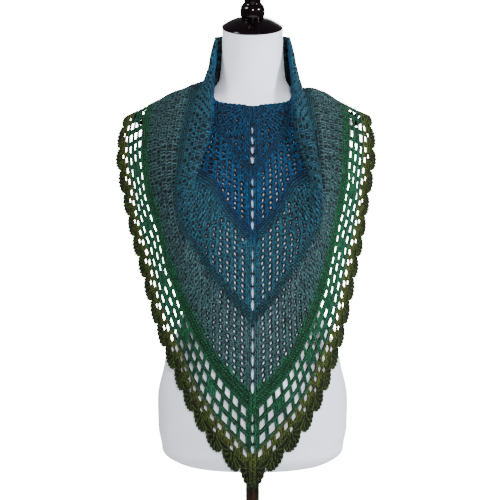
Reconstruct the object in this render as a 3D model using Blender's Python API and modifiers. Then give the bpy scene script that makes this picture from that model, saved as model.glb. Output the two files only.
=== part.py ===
"""A crocheted triangular shawl worn point-down on a limbless dress form.

Metres, +Z up, the front of the form towards -Y, the floor at Z 0.
The cloth is one surface, surface(row, along): row runs from 0 at the middle of the
neckline to 1 at the scalloped hem, and along runs from 0 at the central spine to 1 at
the straight top edge and the wing tip. The crocheted rows are the lines of equal row.
"""

import math

import bmesh
import bpy
import numpy as np

# Dress form
NECK_TOP = 1.4325
FORM_BOTTOM = 0.665
FORM_SIDES = 26
BREAST_SIDE = 0.074
BREAST_HEIGHT = 1.128
BREAST_REACH = 0.026
BREAST_SPREAD = 0.046

# Neck cap
CAP_TILT = math.radians(21)
CAP_RADIUS = 0.0535
CAP_FORWARD = 0.0045
TURNED_SIDES = 22

# Stand
POLE_RADIUS = 0.012
POLE_SIDES = 20
BASE_RADIUS = 0.185
BASE_HEIGHT = 0.030
BASE_SIDES = 36

# Cloth
WALL = 0.0024
SEAM = 0.0003
ROW_SEAM = 0.0007
REST_GAP = 0.0022
WRAP_LAYER = 0.0065
STEEPEST = 1.6

# The wings lie on the form from here on, and the right wing lies over the left one
SNUG_ALONG = (0.66, 0.84)
SNUG_ROWS = (0.50, 0.59)

# Beside the neck it spans the hollow over the shoulder: how much on each side, and from which
# distances and heights up
BRIDGE = {-1: 0.75, 1: 0.20}
BRIDGE_SIDES = (0.055, 0.085)
BRIDGE_HEIGHTS = (1.320, 1.345)

# The hem sits further out on the left shoulder: how far it leans, and from what height
SKEW = 0.037
SKEW_HEIGHT = 0.84
SKEW_ROWS = (0.40, 0.75)
SKEW_STARTS = (0.0, 0.25)
SKEW_ENDS = {-1: (0.60, 0.90), 1: (0.50, 0.72)}

# The rows of the shawl, as shares of the way from the neckline to the hem
CHEST_ROW = 0.18
VALLEY_ROW = 0.36
TURN_ROW = 0.40
ROLL_ROW = 0.435
YOKE_ROW = 0.59
BORDER_ROW = 0.75
FILET_START = 0.797
FILET_END = 0.905
SCALLOP_VALLEY = 0.966

# The open mesh: holes along one half, rows of them, and a bar's share of a cell
FILET_HOLES = 46
FILET_ROWS = 3
FILET_BAR = 0.42
FILET_HOLE_TOP = 0.23
FILET_HOLE_FOOT = 0.81

# The shell edging: scallops along one half
SCALLOPS = 26
SCALLOP_STEPS = 4
SCALLOP_ROUND = 0.6

# The spine's strip and its eyelets, in shares of its half width and of a step
SPINE_HALF = 0.0075
EYELET_HALF_WIDTH = 0.35
EYELET_HALF_HEIGHT = 0.20
EYELET_GROWTH = 0.10

# The form's level sections
FORM_SECTIONS = (
    # height, half width, front reach, back reach, squareness
    (0.665, 0.086, 0.062, 0.062, 2.2),
    (0.669, 0.118, 0.082, 0.082, 2.2),
    (0.680, 0.144, 0.096, 0.096, 2.2),
    (0.700, 0.159, 0.104, 0.106, 2.3),
    (0.735, 0.165, 0.108, 0.111, 2.3),
    (0.790, 0.166, 0.107, 0.110, 2.3),
    (0.850, 0.154, 0.102, 0.102, 2.3),
    (0.910, 0.131, 0.096, 0.089, 2.2),
    (0.960, 0.117, 0.092, 0.079, 2.2),
    (1.010, 0.117, 0.093, 0.077, 2.2),
    (1.065, 0.127, 0.099, 0.082, 2.3),
    (1.120, 0.138, 0.103, 0.089, 2.3),
    (1.170, 0.149, 0.094, 0.095, 2.4),
    (1.215, 0.162, 0.080, 0.095, 2.5),
    (1.250, 0.173, 0.068, 0.087, 2.5),
    (1.270, 0.174, 0.060, 0.077, 2.4),
    (1.284, 0.158, 0.055, 0.068, 2.3),
    (1.296, 0.126, 0.051, 0.059, 2.2),
    (1.308, 0.094, 0.048, 0.053, 2.1),
    (1.322, 0.070, 0.047, 0.049, 2.0),
    (1.342, 0.0575, 0.048, 0.046, 2.0),
    (1.390, 0.0535, 0.050, 0.045, 2.0),
    (1.4325, 0.0525, 0.053, 0.044, 2.0),
)
# Sections across the cloth, from the spine to the wing tip. Each gives the place of five
# rows in millimetres, as side, front and height: over the chest, on the rolled fold, on the
# yoke, where the green border starts, and at the hem.
SECTIONS = (
    # along, chest row, roll row, yoke row, border row, hem
    (0.000, (0, 112, 1176), (0, 131, 1012), (0, 131, 913), (0, 128, 810), (0, 118, 644)),
    (0.100, (13, 107, 1190), (30, 132, 1047), (40, 131, 961), (54, 124, 871), (80, 110, 731)),
    (0.230, (29, 99, 1208), (71, 134, 1091), (86, 131, 1030), (102, 118, 962), (140, 85, 849)),
    (0.385, (47, 89, 1230), (105, 136, 1146), (123, 128, 1113), (140, 108, 1080), (184, 72, 1008)),
    (0.500, (58, 81, 1248), (89, 119, 1201), (124, 118, 1192), (158, 95, 1168), (207, 58, 1115)),
    (0.590, (64, 75, 1263), (79, 104, 1241), (118, 96, 1245), (161, 68, 1238), (220, 40, 1208)),
    (0.670, (63, 70, 1277), (74, 85, 1279), (105, 35, 1322), (155, -4, 1303), (207, -12, 1279)),
    (0.800, (63, 64, 1289), (75, 58, 1322), (95, -16, 1352), (128, -78, 1265), (158, -98, 1192)),
    (0.900, (62, 60, 1297), (72, 26, 1376), (64, -62, 1368), (70, -108, 1252), (68, -124, 1152)),
    (1.000, (61, 57, 1304), (63, -10, 1417), (4, -70, 1405), (-30, -108, 1267), (-35, -127, 1186)),
)
NECKLINE = (0, 68, 1290)

# How far the rolled fold's hidden rows leave the straight way from the chest to the roll, in
# millimetres, as side, front and height
ROLL_TUCK = (
    # along, valley row, turn row
    (0.30, (0.0, 0.0, 0.0), (0.0, 0.0, 0.0)),
    (0.50, (20.0, -3.0, -15.0), (0.0, -1.0, -6.5)),
    (0.60, (9.0, -5.5, -8.0), (-3.0, -2.0, -3.0)),
    (0.72, (0.0, 0.0, 0.0), (0.0, 0.0, 0.0)),
    (1.00, (0.0, 2.0, 18.0), (0.0, 1.0, 12.5)),
)

# The eyelets down the spine, in each band of lace
SPINE_EYELETS = (
    # first row, row step, number
    (0.0650, 0.0266, 4),
    (0.2020, 0.0280, 5),
    (0.3890, 0.0329, 5),
    (0.5930, 0.0356, 5),
)

# The body's grid: rows down it, and shares along each row
BODY_ROWS = (
    0.02, 0.06, 0.11, 0.15, CHEST_ROW, 0.24, 0.30, 0.335, VALLEY_ROW, 0.38, TURN_ROW, ROLL_ROW,
    0.46, 0.49, 0.52, 0.555, YOKE_ROW, 0.63, 0.67, 0.71, BORDER_ROW, 0.78, FILET_START,
)
BODY_SHARES = np.array((
    0.0, 0.06, 0.13, 0.20, 0.27, 0.33, 0.385, 0.43, 0.475, 0.52, 0.555, 0.585, 0.61, 0.635, 0.66, 0.685,
    0.71, 0.74, 0.77, 0.80, 0.83, 0.86, 0.89, 0.92, 0.945, 0.97, 1.0,
))

# The mesh's columns: a bar, then a hole, along a row, and a last bar
FILET_SHARES = np.array(
    [hole + bar for hole in range(FILET_HOLES) for bar in (0, FILET_BAR)]
    + [FILET_HOLES - FILET_BAR / 5, FILET_HOLES]
) / FILET_HOLES

WHITE_JERSEY = ((0.80, 0.81, 0.83, 1), 0.8, 0.0)
BLACK_WOOD = ((0.012, 0.008, 0.008, 1), 0.25, 0.0)
BLUE_YARN = ((0.010, 0.110, 0.190, 1), 0.9, 0.0)
TEAL_YARN = ((0.035, 0.130, 0.150, 1), 0.9, 0.0)
GREEN_YARN = ((0.015, 0.120, 0.055, 1), 0.9, 0.0)
OLIVE_YARN = ((0.070, 0.085, 0.020, 1), 0.9, 0.0)


def smooth(low, high, value):
    """0 below low, 1 above high, and an even curve between."""
    share = np.clip((value - low) / (high - low), 0, 1)
    return share * share * (3 - 2 * share)


def spline(knots, values, at):
    """A smooth curve through values at knots. values is (knots, points, axes) and at is (points,)."""
    knots = np.asarray(knots, float)
    values = np.asarray(values, float)
    steps = np.diff(knots)[:, None, None]
    slopes = np.diff(values, axis=0) / steps
    tangents = np.empty_like(values)
    tangents[0], tangents[-1] = slopes[0], slopes[-1]
    tangents[1:-1] = (slopes[1:] * steps[:-1] + slopes[:-1] * steps[1:]) / (steps[1:] + steps[:-1])
    steepness = np.linalg.norm(slopes, axis=2)
    limit = STEEPEST * np.minimum(steepness[1:], steepness[:-1])
    length = np.maximum(np.linalg.norm(tangents[1:-1], axis=2), 1e-9)
    tangents[1:-1] *= np.minimum(1, limit / length)[:, :, None]
    span = np.clip(np.searchsorted(knots, at, side="right") - 1, 0, len(knots) - 2)
    point = np.arange(len(at))
    width = (knots[span + 1] - knots[span])[:, None]
    share = ((at - knots[span]) / width[:, 0])[:, None]
    low, high = values[span, point], values[span + 1, point]
    leave, arrive = tangents[span, point] * width, tangents[span + 1, point] * width
    square, cube = share**2, share**3
    return (
        low * (2 * cube - 3 * square + 1)
        + leave * (cube - 2 * square + share)
        + high * (3 * square - 2 * cube)
        + arrive * (cube - square)
    )


def column(knots, places, along):
    """One guide line of a table in millimetres, read at the given shares along it."""
    values = np.repeat(np.asarray(places, float)[:, None, :] / 1000, len(along), axis=1)
    return spline(knots, values, along)


def form_sizes(height):
    """The form's half width, front reach, back reach and squareness at the given heights."""
    table = np.array(FORM_SECTIONS)
    values = np.repeat(table[:, None, 1:], len(height), axis=1)
    return spline(table[:, 0], values, np.clip(height, table[0, 0], table[-1, 0])).T


def breast(side, height):
    """How far the bust stands out of the form's front."""
    over = (np.abs(side) - BREAST_SIDE) / BREAST_SPREAD
    up = (height - BREAST_HEIGHT) / BREAST_SPREAD
    return BREAST_REACH * np.exp(-(over**2) - up**2)


def form_level(points):
    """Below 0 inside the form, 0 on its surface and above 0 outside."""
    width, front, back, square = form_sizes(points[:, 2])
    depth = np.where(points[:, 1] < 0, front + breast(points[:, 0], points[:, 2]), back)
    across, deep = np.abs(points[:, 0]) / width, np.abs(points[:, 1]) / depth
    return (across**square + deep**square) ** (1 / square) - 1


def laid_on_form(points, gap, snug):
    """The points, moved out of the form until the gap is clear, and in to the gap where snug is 1."""
    probe, longest = 0.001, 0.01
    for _ in range(6):
        level = form_level(points)
        slope = np.stack(
            [
                (form_level(points + step) - form_level(points - step)) / (2 * probe)
                for step in np.eye(3) * probe
            ],
            axis=1,
        )
        steep = np.maximum(np.linalg.norm(slope, axis=1), 1e-6)
        short = gap - level / steep
        move = np.maximum(short, 0) + np.minimum(short, 0) * snug
        move = np.clip(move, -longest, longest) * (points[:, 2] < NECK_TOP + 0.02)
        points = points + slope / steep[:, None] * move[:, None]
    return points


def surface(row, along, side):
    """Points on the middle of the cloth. side is 1 at +X and -1 at -X."""
    row, along = np.broadcast_arrays(np.asarray(row, float), np.asarray(along, float))
    shape = row.shape
    row, along = row.ravel(), along.ravel()
    knots = [section[0] for section in SECTIONS]
    chest, roll, yoke, border, hem = (
        column(knots, [section[k] for section in SECTIONS], along) for k in range(1, 6)
    )
    tuck_knots = [tuck[0] for tuck in ROLL_TUCK]
    tuck_at = np.clip(along, tuck_knots[0], 1)
    valley_tuck, turn_tuck = (column(tuck_knots, [t[k] for t in ROLL_TUCK], tuck_at) for k in (1, 2))
    rise = (chest - roll) / (ROLL_ROW - CHEST_ROW)
    valley = roll + rise * (ROLL_ROW - VALLEY_ROW) + valley_tuck
    turn = roll + rise * (ROLL_ROW - TURN_ROW) + turn_tuck
    top = np.repeat([NECKLINE], len(along), axis=0) / 1000
    rows = (0, CHEST_ROW, VALLEY_ROW, TURN_ROW, ROLL_ROW, YOKE_ROW, BORDER_ROW, 1)
    place = spline(rows, [top, chest, valley, turn, roll, yoke, border, hem], row)
    x, y, z = place[:, 0] * side, -place[:, 1], place[:, 2]
    skewed = smooth(*SKEW_ROWS, row) * smooth(*SKEW_STARTS, along)
    skewed = skewed * (1 - smooth(*SKEW_ENDS[side], along))
    x = x + SKEW * (SKEW_HEIGHT - z) * skewed
    snug = smooth(*SNUG_ALONG, along) * smooth(*SNUG_ROWS, row)
    bridged = BRIDGE[side] * smooth(*BRIDGE_SIDES, np.abs(x)) * smooth(*BRIDGE_HEIGHTS, z)
    snug = snug * (1 - bridged)
    gap = REST_GAP + WALL / 2 + (side > 0) * WRAP_LAYER * snug
    points = laid_on_form(np.stack([x, y, z], axis=1), gap, snug)
    return points.reshape(*shape, 3)


def material(name, look):
    colour, roughness, metallic = look
    made = bpy.data.materials.new(name)
    made.use_nodes = True
    shader = made.node_tree.nodes["Principled BSDF"]
    shader.inputs["Base Color"].default_value = colour
    shader.inputs["Roughness"].default_value = roughness
    shader.inputs["Metallic"].default_value = metallic
    made.diffuse_color = colour
    return made


def add_object(name, mesh, look):
    made = bpy.data.objects.new(name, mesh)
    made.data.materials.append(look)
    PARTS.objects.link(made)
    return made


def grid_mesh(name, points, skipped):
    """An open sheet through a grid of points, without the cells named as holes."""
    sheet = bmesh.new()
    rows, columns = points.shape[:2]
    corner = [[sheet.verts.new(points[i, j]) for j in range(columns)] for i in range(rows)]
    for i in range(rows - 1):
        for j in range(columns - 1):
            if not skipped(i, j):
                sheet.faces.new((corner[i][j], corner[i + 1][j], corner[i + 1][j + 1], corner[i][j + 1]))
    bmesh.ops.remove_doubles(sheet, verts=sheet.verts, dist=1e-5)
    bmesh.ops.delete(sheet, geom=[v for v in sheet.verts if not v.link_faces], context="VERTS")
    mesh = bpy.data.meshes.new(name)
    sheet.to_mesh(mesh)
    sheet.free()
    mesh.shade_smooth()
    return mesh


def cloth(name, points, look, skipped=lambda i, j: False):
    """A piece of the cloth: the sheet through the points, given the wall's thickness."""
    made = add_object(name, grid_mesh(name, points, skipped), look)
    wall = made.modifiers.new("wall", "SOLIDIFY")
    wall.thickness = WALL
    wall.offset = 0
    wall.use_even_offset = False
    return made


def ring_length(row, side):
    """How long a crocheted row is on one half of the shawl."""
    line = surface(row, np.linspace(0, 1, 80), side)
    return np.linalg.norm(np.diff(line, axis=0), axis=1).sum()


def half_shares(row, side, shares):
    """Shares along a row of one half, counted from the edge of the spine's strip."""
    start = (SPINE_HALF + SEAM) / ring_length(row, side)
    return start + (1 - start) * shares


def half_line(row, side, shares):
    """Points along a row of one half, on straight lines between the body's columns."""
    column = np.clip(np.searchsorted(BODY_SHARES, shares, side="right") - 1, 0, len(BODY_SHARES) - 2)
    low, high = BODY_SHARES[column], BODY_SHARES[column + 1]
    ends = [surface(row, half_shares(np.max(row), side, share), side) for share in (low, high)]
    return ends[0] + (ends[1] - ends[0]) * ((shares - low) / (high - low))[:, None]


def beside(line, line_shares, row, side, shares):
    """A line that follows an edge already built, the seam's width further down the cloth."""
    edge = np.stack([np.interp(shares, line_shares, line[:, axis]) for axis in range(3)], axis=1)
    down = half_line(row + 0.01, side, shares) - half_line(row, side, shares)
    return edge + down / np.linalg.norm(down, axis=1)[:, None] * ROW_SEAM


def body_half(side, name, look):
    """One half of the lace body, from the spine's strip to the top edge."""
    cloth(name, np.array([half_line(row, side, BODY_SHARES) for row in BODY_ROWS]), look)


def spine_strip(look):
    """The strip down the middle, with its row of eyelets."""
    rows, eyelets = [0.0, 0.02, 0.045], []
    for first, step, count in SPINE_EYELETS:
        for k in range(count):
            middle = first + k * step
            half = step * (EYELET_HALF_HEIGHT + EYELET_GROWTH * k / count)
            eyelets.append(len(rows))
            rows += [middle - half, middle + half]
    rows += [0.955, 0.978, 1.0]
    lines = []
    for row in rows:
        wide = SPINE_HALF * min(1, 0.35 + 32 * row, 0.45 + 25 * (1 - row))
        inner = EYELET_HALF_WIDTH * wide
        strip = []
        for offset in (-wide, -inner, inner, wide):
            side = 1 if offset > 0 else -1
            strip.append(surface(row, abs(offset) / max(ring_length(row, side), 0.02), side))
        lines.append(strip)
    cloth("spine", np.array(lines), look, lambda i, j: j == 1 and i in eyelets)


def filet_half(side, name, look):
    """One half of the open square mesh, with its holes cut through."""
    step = (FILET_END - FILET_START) / FILET_ROWS
    rows = []
    for k in range(FILET_ROWS):
        rows += [FILET_START + step * (k + FILET_HOLE_TOP), FILET_START + step * (k + FILET_HOLE_FOOT)]
    rows.append(FILET_END)
    body_edge = half_line(FILET_START, side, BODY_SHARES)
    lines = [beside(body_edge, BODY_SHARES, FILET_START, side, FILET_SHARES)]
    lines += [half_line(row, side, FILET_SHARES) for row in rows]
    cloth(name, np.array(lines), look, lambda i, j: i % 2 == 1 and j % 2 == 1)


def edging_half(side, name, look):
    """One half of the shell edging, scalloped at the hem."""
    shares = np.linspace(0, 1, SCALLOPS * SCALLOP_STEPS + 1)
    lobe = np.abs(np.cos(math.pi * SCALLOPS * shares)) ** SCALLOP_ROUND
    outer = SCALLOP_VALLEY + (1 - SCALLOP_VALLEY) * lobe
    filet_edge = half_line(FILET_END, side, FILET_SHARES)
    inner = beside(filet_edge, FILET_SHARES, FILET_END, side, shares)
    cloth(name, np.array([inner, half_line(outer, side, shares)]), look)


def build_shawl():
    spine_strip(material("teal yarn at the spine", TEAL_YARN))
    for side, word in ((-1, "left"), (1, "right")):
        body_half(side, f"body_{word}", material(f"blue yarn {word}", BLUE_YARN))
        filet_half(side, f"filet_{word}", material(f"green yarn {word}", GREEN_YARN))
        edging_half(side, f"edging_{word}", material(f"olive yarn {word}", OLIVE_YARN))


def build_torso(look):
    """The form's body: a loft through its level sections, closed above and below."""
    heights = np.array([section[0] for section in FORM_SECTIONS])
    width, front, back, square = form_sizes(heights)
    angles = np.arange(FORM_SIDES) / FORM_SIDES * 2 * math.pi
    sine, cosine = np.sin(angles), -np.cos(angles)
    torso = bmesh.new()
    rings = []
    for k, height in enumerate(heights):
        x = width[k] * np.sign(sine) * np.abs(sine) ** (2 / square[k])
        depth = np.where(cosine < 0, front[k] + breast(x, height), back[k])
        y = depth * np.sign(cosine) * np.abs(cosine) ** (2 / square[k])
        lift = math.tan(CAP_TILT) * y if height == NECK_TOP else np.zeros(FORM_SIDES)
        rings.append([torso.verts.new(place) for place in zip(x, y, height + lift)])
    for low, high in zip(rings, rings[1:]):
        for k in range(FORM_SIDES):
            after = (k + 1) % FORM_SIDES
            torso.faces.new((low[k], low[after], high[after], high[k]))
    torso.faces.new(rings[0][::-1])
    torso.faces.new(rings[-1])
    mesh = bpy.data.meshes.new("torso")
    torso.to_mesh(mesh)
    torso.free()
    mesh.shade_smooth()
    add_object("torso", mesh, look)


def turned(name, profile, look, sides):
    """A turned piece: the profile, as radius and height from top to bottom, spun about Z."""
    mesh = bpy.data.meshes.new(name)
    corners = [(radius, 0, height) for radius, height in profile]
    mesh.from_pydata(corners, [(k, k + 1) for k in range(len(corners) - 1)], [])
    made = add_object(name, mesh, look)
    spin = made.modifiers.new("spin", "SCREW")
    spin.steps = sides
    spin.render_steps = sides
    spin.use_merge_vertices = True
    spin.merge_threshold = 1e-5
    spin.use_smooth_shade = True
    return made


def build_cap(look):
    """The cap on the neck and the turned finial on it, in one piece of wood."""
    profile = (
        # radius, height above the neck
        (0.000, 0.1355), (0.010, 0.1335), (0.018, 0.1265), (0.0225, 0.1145), (0.0225, 0.1015),
        (0.019, 0.0885), (0.0135, 0.0755), (0.0115, 0.0655), (0.0145, 0.0525), (0.0145, 0.0445),
        (0.0195, 0.0385), (0.0212, 0.0325), (0.0212, 0.0235), (0.0195, 0.0185), (0.030, 0.0155),
        (0.043, 0.0095), (0.0515, 0.0040), (CAP_RADIUS, 0.0018), (CAP_RADIUS - 0.001, 0.0), (0.0, 0.0),
    )
    cap = turned("neck_cap", profile, look, TURNED_SIDES)
    cap.rotation_euler = (CAP_TILT, 0, 0)
    rise = SEAM / math.cos(CAP_TILT) - CAP_FORWARD * math.tan(CAP_TILT)
    cap.location = (0, -CAP_FORWARD, NECK_TOP + rise)


def build_pole(look):
    top, foot = FORM_BOTTOM - SEAM, BASE_HEIGHT + SEAM
    turned("pole", ((0, top), (POLE_RADIUS, top), (POLE_RADIUS, foot), (0, foot)), look, POLE_SIDES)


def build_base(look):
    profile = (
        # radius, height
        (0.0, BASE_HEIGHT), (0.030, BASE_HEIGHT), (0.155, 0.024), (BASE_RADIUS - 0.006, 0.018),
        (BASE_RADIUS, 0.012), (BASE_RADIUS, 0.0), (0.0, 0.0),
    )
    turned("base", profile, look, BASE_SIDES)


def clear_scene():
    for old in list(bpy.data.objects):
        bpy.data.objects.remove(old)


clear_scene()
PARTS = bpy.data.collections.new("shawl on dress form")
bpy.context.scene.collection.children.link(PARTS)
build_shawl()
build_torso(material("white jersey", WHITE_JERSEY))
build_cap(material("black lacquered cap", BLACK_WOOD))
build_pole(material("black lacquered pole", BLACK_WOOD))
build_base(material("black lacquered base", BLACK_WOOD))
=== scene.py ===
"""A crocheted triangular shawl on a limbless dress form, made stitch by stitch.

The cloth lies on one surface, read by row and share: row runs from 0 at the middle of the
neckline to 1 at the scalloped hem, and share from 0 beside the central spine to 1 at the
straight top edge and the wing tip. Side 1 is at +X and side -1 at -X. Metres throughout.
"""

import math

import bpy
import numpy as np
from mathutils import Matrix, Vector
from mathutils.kdtree import KDTree


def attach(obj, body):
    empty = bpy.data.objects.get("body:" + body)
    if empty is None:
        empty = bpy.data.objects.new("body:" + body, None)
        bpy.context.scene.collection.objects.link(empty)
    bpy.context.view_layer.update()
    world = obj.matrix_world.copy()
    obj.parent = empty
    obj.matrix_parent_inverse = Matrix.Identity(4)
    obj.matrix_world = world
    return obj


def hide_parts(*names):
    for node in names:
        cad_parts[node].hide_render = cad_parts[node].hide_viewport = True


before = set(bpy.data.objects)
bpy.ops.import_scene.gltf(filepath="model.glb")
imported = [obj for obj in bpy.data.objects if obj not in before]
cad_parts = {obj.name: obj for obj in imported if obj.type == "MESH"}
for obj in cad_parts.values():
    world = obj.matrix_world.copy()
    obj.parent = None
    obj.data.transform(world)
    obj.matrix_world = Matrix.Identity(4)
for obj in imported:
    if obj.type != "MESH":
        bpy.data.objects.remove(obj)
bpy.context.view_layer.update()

RANDOM = np.random.default_rng(34)

# Dress form and stand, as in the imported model
NECK_TOP = 1.4325
NECK_LEVEL = 1.390
FORM_BOTTOM = 0.665
BREAST_SIDE = 0.074
BREAST_HEIGHT = 1.128
BREAST_REACH = 0.026
BREAST_SPREAD = 0.046
CAP_TILT = math.radians(21)
CAP_FORWARD = 0.0045
POLE_RADIUS = 0.012
BASE_RADIUS = 0.185
BASE_HEIGHT = 0.030
SEAM = 0.0003

# The cloth's place on the form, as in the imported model
WALL = 0.0024
REST_GAP = 0.0022
WRAP_LAYER = 0.0065
STEEPEST = 1.6
SNUG_ALONG = (0.66, 0.84)
SNUG_ROWS = (0.50, 0.59)

# Beside the neck it spans the hollow over the shoulder: how much on each side, and from which
# distances and heights up
BRIDGE = {-1: 0.75, 1: 0.20}
BRIDGE_SIDES = (0.055, 0.085)
BRIDGE_HEIGHTS = (1.320, 1.345)
SKEW = 0.037
SKEW_HEIGHT = 0.84
SKEW_ROWS = (0.40, 0.75)
SKEW_STARTS = (0.0, 0.25)
SKEW_ENDS = {-1: (0.60, 0.90), 1: (0.50, 0.72)}
CHEST_ROW = 0.18
VALLEY_ROW = 0.36
TURN_ROW = 0.40
ROLL_ROW = 0.435
YOKE_ROW = 0.59
BORDER_ROW = 0.75
FILET_START = 0.797
FILET_END = 0.905
SCALLOP_VALLEY = 0.966
FILET_HOLES = 46
FILET_ROWS = 3
FILET_BAR = 0.42
FILET_HOLE_TOP = 0.23
FILET_HOLE_FOOT = 0.81
SCALLOPS = 26
SPINE_HALF = 0.0075
FORM_SECTIONS = (
    # height, half width, front reach, back reach, squareness
    (0.665, 0.086, 0.062, 0.062, 2.2),
    (0.669, 0.118, 0.082, 0.082, 2.2),
    (0.680, 0.144, 0.096, 0.096, 2.2),
    (0.700, 0.159, 0.104, 0.106, 2.3),
    (0.735, 0.165, 0.108, 0.111, 2.3),
    (0.790, 0.166, 0.107, 0.110, 2.3),
    (0.850, 0.154, 0.102, 0.102, 2.3),
    (0.910, 0.131, 0.096, 0.089, 2.2),
    (0.960, 0.117, 0.092, 0.079, 2.2),
    (1.010, 0.117, 0.093, 0.077, 2.2),
    (1.065, 0.127, 0.099, 0.082, 2.3),
    (1.120, 0.138, 0.103, 0.089, 2.3),
    (1.170, 0.149, 0.094, 0.095, 2.4),
    (1.215, 0.162, 0.080, 0.095, 2.5),
    (1.250, 0.173, 0.068, 0.087, 2.5),
    (1.270, 0.174, 0.060, 0.077, 2.4),
    (1.284, 0.158, 0.055, 0.068, 2.3),
    (1.296, 0.126, 0.051, 0.059, 2.2),
    (1.308, 0.094, 0.048, 0.053, 2.1),
    (1.322, 0.070, 0.047, 0.049, 2.0),
    (1.342, 0.0575, 0.048, 0.046, 2.0),
    (1.390, 0.0535, 0.050, 0.045, 2.0),
    (1.4325, 0.0525, 0.053, 0.044, 2.0),
)
SECTIONS = (
    # along, chest row, roll row, yoke row, border row, hem, each as side, front, height in mm
    (0.000, (0, 112, 1176), (0, 131, 1012), (0, 131, 913), (0, 128, 810), (0, 118, 644)),
    (0.100, (13, 107, 1190), (30, 132, 1047), (40, 131, 961), (54, 124, 871), (80, 110, 731)),
    (0.230, (29, 99, 1208), (71, 134, 1091), (86, 131, 1030), (102, 118, 962), (140, 85, 849)),
    (0.385, (47, 89, 1230), (105, 136, 1146), (123, 128, 1113), (140, 108, 1080), (184, 72, 1008)),
    (0.500, (58, 81, 1248), (89, 119, 1201), (124, 118, 1192), (158, 95, 1168), (207, 58, 1115)),
    (0.590, (64, 75, 1263), (79, 104, 1241), (118, 96, 1245), (161, 68, 1238), (220, 40, 1208)),
    (0.670, (63, 70, 1277), (74, 85, 1279), (105, 35, 1322), (155, -4, 1303), (207, -12, 1279)),
    (0.800, (63, 64, 1289), (75, 58, 1322), (95, -16, 1352), (128, -78, 1265), (158, -98, 1192)),
    (0.900, (62, 60, 1297), (72, 26, 1376), (64, -62, 1368), (70, -108, 1252), (68, -124, 1152)),
    (1.000, (61, 57, 1304), (63, -10, 1417), (4, -70, 1405), (-30, -108, 1267), (-35, -127, 1186)),
)
NECKLINE = (0, 68, 1290)
ROLL_TUCK = (
    # along, valley row, turn row, each as side, front, height in mm
    (0.30, (0.0, 0.0, 0.0), (0.0, 0.0, 0.0)),
    (0.50, (20.0, -3.0, -15.0), (0.0, -1.0, -6.5)),
    (0.60, (9.0, -5.5, -8.0), (-3.0, -2.0, -3.0)),
    (0.72, (0.0, 0.0, 0.0), (0.0, 0.0, 0.0)),
    (1.00, (0.0, 2.0, 18.0), (0.0, 1.0, 12.5)),
)

# The flat half triangle: how deep along the spine and how wide along the top edge
FLAT_DEPTH = 0.68
FLAT_WIDTH = 0.70

# Soft creases, ridges above 0 and troughs below, each from one place to another, and a faint
# ripple over all the rows
CREASES = (
    # side, from row, along, to row, along, half width, height
    (-1, 0.46, 0.38, 0.72, 0.25, 0.016, 0.0035),
    (-1, 0.50, 0.27, 0.66, 0.17, 0.013, -0.0025),
    (-1, 0.63, 0.52, 0.88, 0.47, 0.015, 0.0025),
    (-1, 0.66, 0.44, 0.97, 0.38, 0.013, -0.0030),
    (-1, 0.72, 0.34, 0.99, 0.29, 0.017, 0.0040),
    (-1, 0.80, 0.23, 0.99, 0.20, 0.012, -0.0020),
    (-1, 0.86, 0.10, 0.99, 0.08, 0.014, 0.0022),
    (1, 0.47, 0.40, 0.68, 0.29, 0.018, 0.0030),
    (1, 0.52, 0.24, 0.71, 0.19, 0.014, -0.0022),
    (1, 0.60, 0.55, 0.93, 0.49, 0.013, 0.0032),
    (1, 0.70, 0.43, 0.99, 0.40, 0.015, -0.0026),
    (1, 0.76, 0.30, 0.98, 0.26, 0.014, 0.0034),
    (1, 0.84, 0.16, 0.99, 0.13, 0.012, -0.0016),
    (1, 0.88, 0.06, 0.99, 0.04, 0.012, 0.0018),
    (-1, 0.55, 0.70, 0.97, 0.79, 0.014, 0.0040),
    (-1, 0.62, 0.80, 0.95, 0.90, 0.012, 0.0026),
    (1, 0.50, 0.72, 0.93, 0.83, 0.015, 0.0036),
    (1, 0.58, 0.84, 0.98, 0.94, 0.011, 0.0030),
    (1, 0.70, 0.74, 0.99, 0.77, 0.012, 0.0024),
    (-1, 0.55, 0.74, 0.60, 0.36, 0.013, -0.0045),
    (1, 0.53, 0.76, 0.58, 0.38, 0.012, -0.0050),
)
CREASE_ENDS = (-0.05, 0.30, 0.75, 1.15)
RIPPLE = 0.0006
RIPPLE_WAVES = (61, 47)
RIPPLE_ROWS = (0.1, 0.4)

# The rows beside the rolls: how far they are raised, and where
RAISE = 0.034
RAISE_ALONG = (0.12, 0.36, 0.60, 0.80)
RAISE_ROWS = (0.12, 0.34, 0.42, 0.57)

# The neckline's edge: how far it bows up, and how far its corners are drawn out and down
NECK_EDGE = (0.86, 1.0)
NECK_BOW = 0.0024
NECK_BOW_END = 0.20
CORNER_ROWS = (0.12, 0.18, 0.22, 0.30)
CORNER_OUT = 0.0042
CORNER_DOWN = 0.0010

# The stitches
STITCH = 0.0063
REPEAT = 3
KINDS = {
    # length of a stitch, stitches to a shell, height under which two rows are worked as one
    "lace": (STITCH, REPEAT, 0.0105),
    "close": (0.0047, 1, 0.0060),
}
GATHER = 0.27
SHELL_SWAY = 0.15
POST_HALF = 0.00186
POST_DEPTH = 0.00150
CLOSE_HALF = 0.00110
LOOP_HALF = 0.00125
CHAIN_STITCH = 0.0040
EDGING_STITCH = 0.0041
BASE_THICK = 0.0009
# The ground sheet is painted this dark, as the shade in the gaps between and behind the stitches
GROUND_PAINTED_SHADE = 0.10
TONE_SPREAD = 0.24
BEND_REACH = 1.85
PLY_TURNS = 2600
STRAND_SIDES = 5
STRAND_ENDS = (0.0005, 0.9995)
LOOP = np.array([0, 1.0, 1.0, 0])
LOOP_SLANT = np.linspace(-1, 1, 4)
CAST_ON_ROW = 0.0036
CAST_ON_STITCH = 0.0056
CAST_ON_SIZE = 1.35
EDGE_START = 0.03
EDGE_SIZE = 1.6
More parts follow.
